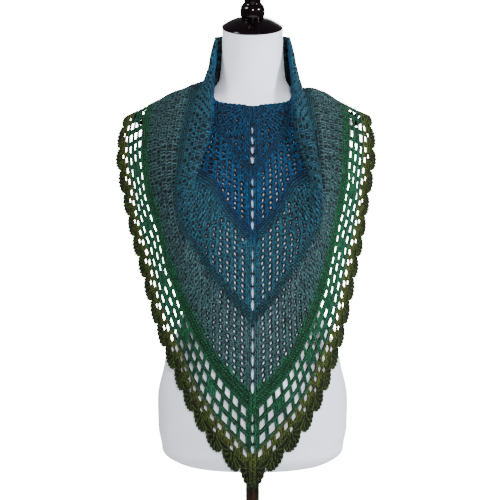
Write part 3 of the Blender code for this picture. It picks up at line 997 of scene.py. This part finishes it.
def filet_half(half, word, look):
    """The open square mesh: its ground, a dark sheet of painted shade, with the holes cut, its posts and its
    chains.
    """
    piece = Piece(f"stitches_filet_{word}")
    step = (FILET_END - FILET_START) / FILET_ROWS
    bars = [cell + bar for cell in range(FILET_HOLES) for bar in (0, FILET_BAR)]
    shares = np.array(bars + [FILET_HOLES - FILET_BAR / 5, FILET_HOLES]) / FILET_HOLES
    lines = [(FILET_START, shares, ())]
    middle_filled = {2 * cell + 1 for cell in range(3 - half.side, FILET_HOLES, FILLED_EVERY)}
    for k in range(FILET_ROWS):
        filled = middle_filled if k == 1 else set()
        less = FILET_NARROWER * drawn_in(half, FILET_START + step * (k + 0.5), shares)
        top = FILET_START + step * (k + FILET_HOLE_TOP + less)
        foot = FILET_START + step * (k + FILET_HOLE_FOOT - less)
        lines += [(top, shares, set(range(1, len(shares) - 1, 2)) - filled), (foot, shares, ())]
        lay_filet_posts(piece, half, FILET_START + step * k, step, shares, filled)
    lines.append((FILET_END, shares, None))
    count = round(half.length(FILET_START) / CHAIN_STITCH)
    for k in range(FILET_ROWS + 1):
        for offset, slant, sides_only in FILET_CHAINS:
            on_body = k == 0 and offset < 0
            on_edging = k == FILET_ROWS and offset > 0
            if not on_body and not on_edging:
                lay_chain(piece, half, FILET_START + step * k + offset, count, slant, sides_only)
    lay_edge(piece, half, FILET_START, FILET_END)
    cloth = ground(f"filet_ground_{word}", half, lines, look, "filet_yarn")
    return cloth, [piece.finish(look, "filet_yarn")]


def lay_filet_posts(piece, half, top, step, shares, filled):
    """Two posts on each bar of the mesh, one at its end, and three in each filled cell."""
    centres = []
    for j, width in enumerate(np.diff(shares)):
        if j in filled:
            parts = (0.2, 0.5, 0.8)
        elif j % 2:
            parts = ()
        else:
            parts = (0.24, 0.76) if width > 0.5 * FILET_BAR / FILET_HOLES else (0.5,)
        centres += [shares[j] + width * part for part in parts]
    down = np.array([-0.02, 0.22, 0.50, 0.78, 1.02])
    share = np.array(centres)[:, None] + FILET_SWAY * swaying(len(centres), down)
    rows = top + step * down
    wide = FILET_POST_HALF * np.array([0, 1.0, 0.86, 1.0, 0])
    piece.strands(half.read(rows, share, POST_LIFT), wide, 0.7, rows)


def lay_chain(piece, half, row, count, slant, sides_only=False):
    """One of the lines of loops that make a chain across the mesh."""
    places = np.arange(count) + 0.5
    if sides_only:
        places = places[drawn_in(half, row, places / count) > DRAWN_IN_CHAINS]
    share = np.clip((places[:, None] + np.array([-0.72, -0.28, 0.28, 0.72])) / count, *STRAND_ENDS)
    rows = row + slant * LOOP_SLANT
    piece.strands(half.read(rows, share, CHAIN_LIFT), LOOP_HALF * LOOP, 1, rows)


def hem_row(share):
    """The row that the scalloped hem reaches at a share: half rounds, one at each end too."""
    beat = share * SCALLOPS
    off = 2 * (beat - np.round(beat))
    return SCALLOP_VALLEY + (1 - SCALLOP_VALLEY) * np.sqrt(np.maximum(1 - off**2, 0))


def edging_half(half, word, look):
    """The olive rows and the shells: the ground, a dark sheet of painted shade, with its holes, the posts and
    the fans.
    """
    piece = Piece(f"stitches_edging_{word}")
    cells, side = 2 * SCALLOPS, SECOND_HOLE_HALF
    first = np.array([cell + part for cell in range(cells) for part in (0, 0.27, 0.73)] + [cells]) / cells
    second = [k + part for k in range(1, SCALLOPS) for part in (-side, side, 0.5)]
    second = np.array([0, side] + second + [SCALLOPS - side, SCALLOPS]) / SCALLOPS
    round_off = 0.5 * np.sin(np.linspace(-0.5, 0.5, 13) * math.pi)
    fan = np.concatenate([[0.0]] + [k + round_off[1:] for k in range(SCALLOPS + 1)]) / SCALLOPS
    fan = np.unique(np.clip(fan, 0, 1))
    lines = [
        (FILET_END, np.linspace(0, 1, 2 * cells + 1), None),
        (FIRST_HOLES[0], first, range(1, len(first) - 1, 3)),
        (FIRST_HOLES[1], first, None),
        (SECOND_HOLES[0], second, range(2, len(second) - 3, 3)),
        (SECOND_HOLES[1], second, None),
        (FAN_FEET, fan, ()),
        (hem_row(fan), fan, None),
    ]
    for number, top, foot, parts, gather, half_width in EDGING_POSTS:
        shares = np.array([k + part for k in range(number + 1) for part in parts]) / number
        lay_posts(piece, half, top, foot, shares, gather, half_width)
    count = round(half.length(EDGING_MIDDLE) / EDGING_STITCH)
    for row, slant in EDGING_CHAINS:
        lay_chain(piece, half, row, count, slant)
    lay_fans(piece, half)
    lay_edge(piece, half, FILET_END, EDGING_END)
    cloth = ground(f"edging_ground_{word}", half, lines, look, "edging_yarn")
    return cloth, [piece.finish(look, "edging_yarn")]


def lay_posts(piece, half, top, foot, shares, gather, half_width):
    """Single posts between two rows, drawn together at the top by the gather."""
    shares = shares[(shares > 0.001) & (shares < 0.999)]
    beat = shares * SCALLOPS
    pull = (np.round(beat) - beat)[:, None] / SCALLOPS * gather
    down = np.array([0, 0.25, 0.5, 0.75, 1.0])
    rows = top + (foot - top) * down
    wide = half_width * np.array([0, 1.0, 0.92, 1.0, 0])
    piece.strands(half.read(rows, shares[:, None] + pull * (1 - down), POST_LIFT), wide, 0.75, rows)


def fan_spokes(k, number):
    """Shares of the spread for the stitches of a shell, without those beyond the cloth's ends."""
    spokes = np.linspace(-1, 1, number)
    return spokes[(k + 0.4 * spokes > 0) & (k + 0.4 * spokes < SCALLOPS), None]


def lay_fans(piece, half):
    """The shells: knobbly stitches that spread from each hole to the hem."""
    for k in range(SCALLOPS + 1):
        for middle, number, half_width in FAN_GRAINS:
            spokes = fan_spokes(k, number)
            reach = middle + RANDOM.uniform(-0.04, 0.04, spokes.shape) + GRAIN_REACH
            turn = spokes * FAN_SPREAD + 0.10 * RANDOM.uniform(-1, 1, spokes.shape) * LOOP_SLANT
            share = np.clip((k + FAN_SIDE * np.sin(turn) * (0.16 + 0.84 * reach)) / SCALLOPS, *STRAND_ENDS)
            start = FAN_TOP + 0.005 * (1 - np.cos(turn))
            end = SCALLOP_VALLEY + (1 - SCALLOP_VALLEY) * np.cos(turn)
            rows = start + (end - start) * reach
            wide = half_width * LOOP * RANDOM.uniform(0.85, 1.15, spokes.shape)
            piece.strands(half.read(rows, share, GRAIN_LIFT), wide, 0.9, rows)
        turn = fan_spokes(k, FAN_RIM) * FAN_SPREAD + RIM_TURN
        share = np.clip((k + RIM_SIDE * np.sin(turn)) / SCALLOPS, *STRAND_ENDS)
        rows = SCALLOP_VALLEY - 0.001 + (1.001 - SCALLOP_VALLEY) * (np.cos(turn) * RIM_REACH)
        piece.strands(half.read(rows, share, RIM_LIFT), RIM_HALF * LOOP, 0.8, rows)


def build_spine(halves, look):
    """The strip down the middle: its ground, a dark sheet of painted shade, with the diamond eyelets cut, and
    its stitches.
    """
    eyelets = [
        (first + k * step, step, EYELET_SIZE[0] + EYELET_SIZE[1] * k / (count - 1))
        for first, step, count in SPINE_EYELETS
        for k in range(count)
    ]
    cut = [
        (middle + place * step, opening * size, cells)
        for middle, step, size in eyelets
        for place, opening, cells in EYELET_SHAPE
    ]
    above, below = ([(row, SPINE_PLAIN, ()) for row in rows] for rows in SPINE_PLAIN_ROWS)
    lines = [(row, np.array([-1, -inner, inner, 1]), cells) for row, inner, cells in above + cut + below]
    spine = Spine(halves)
    cloth = ground("spine_ground", spine, lines, look, "body_yarn")
    stitches = Piece("stitches_spine")
    bow = np.linspace(-1, 1, 7)
    belly = np.cos((bow - 0.2 * (1 - bow**2)) * math.pi / 2)
    for middle, step, size in eyelets:
        rows = middle + EYELET_REACH * step * bow
        for side in (-1, 1):
            across = side * (0.12 + 0.54 * size * belly)[None]
            wide = 0.00120 * np.array([0, 1, 1.1, 1.1, 1.1, 1, 0])
            stitches.strands(spine.read(rows, across, 0.0007), wide, 0.8, rows)
    lay_spine_sides(stitches, spine)
    lay_spine_vees(stitches, spine, eyelets)
    return cloth, [stitches.finish(look, "body_yarn")]


def lay_spine_sides(piece, spine):
    """A line of leaning stitches down each side of the strip."""
    down = np.array([-0.25, 0.2, 0.8, 1.25])
    rows = np.arange(0.012, 0.985, SPINE_SIDE_ROWS)[:, None] + SPINE_SIDE_ROWS * down
    for side in (-1, 1):
        across = side * (0.85 + 0.08 * (down - 0.5))
        piece.strands(spine.read(rows, across, 0.0004), 0.00135 * LOOP, 1, rows)


def lay_spine_vees(piece, spine, eyelets):
    """Pairs of stitches that meet in a V on the strip, where it has no eyelet."""
    edges = np.arange(0.006, 0.990, SPINE_VEE_ROWS)
    clear = [all(abs(row - middle) > EYELET_REACH * step for middle, step, _ in eyelets) for row in edges]
    down = np.linspace(0, 1, 5)
    rows = edges[clear, None] + 0.010 * down - 0.004
    for side in (-1, 1):
        across = side * (0.72 * (1 - down) + 0.05)
        wide = 0.00125 * np.array([0, 1.0, 1.05, 1.0, 0])
        piece.strands(spine.read(rows, across, 0.0006), wide, 0.85, rows)


# Looks


def screen(red, green, blue):
    """Screen values from 0 to 255 as a shader's linear colour."""
    values = np.array([red, green, blue]) / 255
    linear = np.where(values <= 0.04045, values / 12.92, ((values + 0.055) / 1.055) ** 2.4)
    return (*(float(v) for v in linear), 1.0)


class Look:
    """A material's nodes, made and joined in short lines."""

    def __init__(self, name, roughness, specular=0.5, **sockets):
        self.material = bpy.data.materials.new(name)
        self.material.use_nodes = True
        self.tree = self.material.node_tree
        self.shader = self.tree.nodes["Principled BSDF"]
        self.into("Roughness", roughness)
        self.into("Specular IOR Level", specular)
        for key, value in sockets.items():
            self.into(key.replace("_", " ").title(), value)

    def join(self, socket, value):
        if isinstance(value, bpy.types.NodeSocket):
            self.tree.links.new(value, socket)
        else:
            socket.default_value = value

    def into(self, socket, value):
        self.join(self.shader.inputs[socket], value)

    def node(self, kind, settings=None, **inputs):
        made = self.tree.nodes.new("ShaderNode" + kind)
        for key, value in (settings or {}).items():
            setattr(made, key, value)
        for key, value in inputs.items():
            self.join(made.inputs[key], value)
        return made

    def math(self, operation, *values):
        made = self.node("Math", {"operation": operation})
        for socket, value in zip(made.inputs, values):
            self.join(socket, value)
        return made.outputs[0]

    def scaled(self, value, strength, least):
        return self.math("MULTIPLY_ADD", value, strength, least)

    def attribute(self, name, output="Fac"):
        return self.node("Attribute", {"attribute_name": name}).outputs[output]

    def place(self):
        return self.node("TexCoord").outputs["Object"]

    def noise(self, scale, detail=3.0, where=None):
        return self.node("TexNoise", Vector=where or self.place(), Scale=scale, Detail=detail).outputs["Fac"]

    def ramp(self, value, stops):
        made = self.node("ValToRGB", Fac=value)
        while len(made.color_ramp.elements) < len(stops):
            made.color_ramp.elements.new(0.5)
        for element, (position, colour) in zip(made.color_ramp.elements, stops):
            element.position = position
            element.color = screen(*colour)
        return made.outputs["Color"]

    def bump(self, height, strength, distance):
        bump = self.node("Bump", Height=height, Strength=strength, Distance=distance)
        self.into("Normal", bump.outputs["Normal"])


def yarn_look():
    """Hand-dyed plied wool: the colour follows the rows, each stitch has its tone, with painted shade laid
    into it, and its ply.
    """
    look = Look("gradient_yarn", 0.82, 0.10, sheen_weight=0.02, sheen_roughness=0.45)
    row = look.math("ADD", look.attribute("row"), look.scaled(look.noise(34.0), 0.036, -0.018))
    colour = look.ramp(row, [(stop[0], stop[1:]) for stop in YARN_COLOURS])
    # The tone attribute holds each stitch's random tone together with painted shade: darker strand sides and
    # tips, darker legs and the dark ground
    value = look.attribute("tone_and_shade")
    for scale, detail, strength, least in YARN_SHADES:
        value = look.math("MULTIPLY", value, look.scaled(look.noise(scale, detail), strength, least))
    look.into("Base Color", look.node("HueSaturation", Color=colour, Value=value).outputs["Color"])
    twist = look.node("SeparateXYZ", Vector=look.attribute("twist", "Vector"))
    turn = look.math("MULTIPLY", twist.outputs["Z"], PLY_TURNS)
    first = look.math("MULTIPLY", look.math("SINE", turn), twist.outputs["X"])
    second = look.math("MULTIPLY", look.math("COSINE", turn), twist.outputs["Y"])
    ply = look.math("ADD", first, second)
    look.bump(look.scaled(look.noise(2600.0, 2.0), 0.8, ply), 0.55, 0.00025)
    return look.material


def jersey_look():
    """Fine white jersey: a close knit and a faint unevenness."""
    look = Look("white_jersey", 0.72, 0.3, sheen_weight=0.12)
    look.into("Base Color", look.ramp(look.noise(9.0, 2.0), [(0.3, (176, 179, 190)), (0.7, (186, 189, 199))]))
    bands = {"wave_type": "BANDS", "bands_direction": "X"}
    wales = look.node("TexWave", bands, Vector=look.place(), Scale=420.0, Distortion=1.2)
    look.bump(look.scaled(wales.outputs["Fac"], 0.5, look.noise(900.0, 2.0)), 0.12, 0.0003)
    return look.material


def wood_look(name, dark, light, roughness, coat):
    """Dark stained wood under lacquer, its grain along the turned piece."""
    look = Look(name, roughness, 0.12, coat_weight=coat, coat_roughness=0.08)
    long = look.node("Mapping", Vector=look.place(), Scale=(1.0, 1.0, 0.06))
    grain = look.noise(260.0, 6.0, long.outputs["Vector"])
    look.into("Base Color", look.ramp(grain, [(0.38, dark), (0.72, light)]))
    look.into("Roughness", look.scaled(look.noise(45.0), 0.16, roughness - 0.08))
    look.bump(grain, 0.08, 0.0002)
    return look.material


def floor_look():
    look = Look("pale_floor", 0.9)
    look.into("Base Color", look.ramp(look.noise(3.0), [(0.3, (244, 244, 245)), (0.7, (249, 249, 250))]))
    return look.material


# Form and stand


def build_torso(look):
    """The form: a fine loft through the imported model's sections, rounded over at the foot."""
    heights = np.unique(np.concatenate([
        np.linspace(FORM_BOTTOM, NECK_TOP, TORSO_LEVELS),
        np.linspace(FORM_BOTTOM, FOOT_END, FOOT_LEVELS),
    ]))
    width, front, back, square = (size[:, None] for size in form_sizes(heights))
    heights = heights[:, None]
    angles = np.arange(TORSO_SIDES) / TORSO_SIDES * 2 * math.pi
    sine, cosine = np.sin(angles)[None], -np.cos(angles)[None]
    x = width * np.sign(sine) * np.abs(sine) ** (2 / square)
    depth = np.where(cosine < 0, front + breast(x, heights), back)
    y = depth * np.sign(cosine) * np.abs(cosine) ** (2 / square)
    tilted = np.clip((heights - NECK_LEVEL) / (NECK_TOP - NECK_LEVEL), 0, 1)
    z = heights + math.tan(CAP_TILT) * y * tilted
    ring = np.arange(TORSO_SIDES)
    faces = tube_faces(len(heights), TORSO_SIDES).tolist()
    faces += [ring[::-1].tolist(), ((len(heights) - 1) * TORSO_SIDES + ring).tolist()]
    mesh = bpy.data.meshes.new("jersey_form")
    mesh.from_pydata(np.stack([x, y, z], axis=-1).reshape(-1, 3), [], faces)
    form = finished("jersey_form", mesh, look)
    form.modifiers.new("edges", "EDGE_SPLIT").split_angle = CRISP
    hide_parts("torso")


def turned(name, profile, look, node):
    """A turned piece: the profile, as radius and height from top to bottom, spun about Z."""
    mesh = bpy.data.meshes.new(name)
    corners = [(radius, 0, height) for radius, height in profile]
    mesh.from_pydata(corners, [(k, k + 1) for k in range(len(corners) - 1)], [])
    made = finished(name, mesh, look)
    spin = made.modifiers.new("spin", "SCREW")
    spin.steps = spin.render_steps = 72
    spin.use_merge_vertices = True
    spin.merge_threshold = 1e-5
    spin.use_smooth_shade = True
    made.modifiers.new("edges", "EDGE_SPLIT").split_angle = CRISP
    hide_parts(node)
    return made


def rounded(profile, steps):
    """The profile with a smooth curve through its corners."""
    last = len(profile) - 1
    points = curve(np.arange(last + 1), profile, np.linspace(0, last, last * steps + 1))
    return [(max(float(radius), 0.0), float(height)) for radius, height in points]


def build_stand(cap_look, stand_look):
    profile = rounded(FINIAL, 4) + rounded(CAP_RINGS, 3) + rounded(CAP_DOME, 4) + [(0.0525, 0.0), (0.0, 0.0)]
    cap = turned("lacquered_cap", profile, cap_look, "neck_cap")
    cap.rotation_euler = (CAP_TILT, 0, 0)
    rise = SEAM / math.cos(CAP_TILT) - CAP_FORWARD * math.tan(CAP_TILT)
    cap.location = (0, -CAP_FORWARD, NECK_TOP + rise)
    top, foot = FORM_BOTTOM - SEAM, BASE_HEIGHT + SEAM
    turned("wooden_pole", ((0, top), (POLE_RADIUS, top), (POLE_RADIUS, foot), (0, foot)), stand_look, "pole")
    edge = rounded(((0.155, 0.024), (BASE_RADIUS - 0.006, 0.018), (BASE_RADIUS, 0.012)), 5)
    disc = [(0.0, BASE_HEIGHT), (0.030, BASE_HEIGHT)] + edge + [(BASE_RADIUS, 0.0), (0.0, 0.0)]
    turned("wooden_base", disc, stand_look, "base")


# Studio


def build_floor():
    mesh = bpy.data.meshes.new("floor")
    angles = np.arange(FLOOR_SIDES) / FLOOR_SIDES * 2 * math.pi
    corners = [(FLOOR_RADIUS * math.cos(t), FLOOR_RADIUS * math.sin(t), 0) for t in angles]
    mesh.from_pydata(corners, [], [tuple(range(FLOOR_SIDES))])
    mesh.materials.append(floor_look())
    linked("floor", mesh)


def aimed(name, data, place, target):
    """A light or the camera at its place, turned to its target."""
    made = linked(name, data)
    made.location = place
    made.rotation_euler = (Vector(target) - Vector(place)).to_track_quat("-Z", "Y").to_euler()
    return made


def white_room():
    """A pale room that lights softly, behind it a white backdrop that only the camera sees."""
    world = bpy.data.worlds.new("white room")
    world.use_nodes = True
    nodes, links = world.node_tree.nodes, world.node_tree.links
    room, backdrop = nodes["Background"], nodes.new("ShaderNodeBackground")
    for node, colour, strength in ((room, ROOM, ROOM_STRENGTH), (backdrop, (1, 1, 1, 1), BACKDROP_STRENGTH)):
        node.inputs["Color"].default_value = colour
        node.inputs["Strength"].default_value = strength
    path = nodes.new("ShaderNodeLightPath")
    mix = nodes.new("ShaderNodeMixShader")
    links.new(path.outputs["Is Camera Ray"], mix.inputs[0])
    links.new(room.outputs[0], mix.inputs[1])
    links.new(backdrop.outputs[0], mix.inputs[2])
    links.new(mix.outputs[0], nodes["World Output"].inputs[0])
    bpy.context.scene.world = world


def build_studio():
    white_room()
    for name, place, target, width, height, watts, tint in LIGHTS:
        light = bpy.data.lights.new(name, "AREA")
        light.shape = "RECTANGLE" if height else "DISK"
        light.size = width
        light.size_y = height or width
        light.energy = watts
        light.color = tint
        aimed(name, light, place, target)
    camera = bpy.data.cameras.new("camera")
    camera.sensor_width = CAMERA_WIDTH
    camera.lens = CAMERA_LENS
    bpy.context.scene.camera = aimed("camera", camera, CAMERA_PLACE, CAMERA_TARGET)


def build_shawl():
    look = yarn_look()
    halves = {side: Half(side) for side in (-1, 1)}
    strips = (
        # node, builder, flat width, flat length, flat area
        ("body", body_half, 0.56, 0.55, 0.140),
        ("filet", filet_half, 0.055, 0.86, 0.0265),
        ("edging", edging_half, 0.050, 0.95, 0.030),
    )
    cloth, stitches = build_spine(halves, look)
    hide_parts("spine")
    for side, word in ((-1, "left"), (1, "right")):
        for node, builder, width, length, area in strips:
            cloth, stitches = builder(halves[side], word, look)
            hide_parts(f"{node}_{word}")


build_studio()
build_floor()
build_torso(jersey_look())
build_stand(
    wood_look("lacquered_wood", (3, 1, 2), (9, 4, 6), 0.16, 0.16),
    wood_look("stained_wood", (10, 5, 3), (44, 25, 13), 0.32, 0.16),
)
build_shawl()
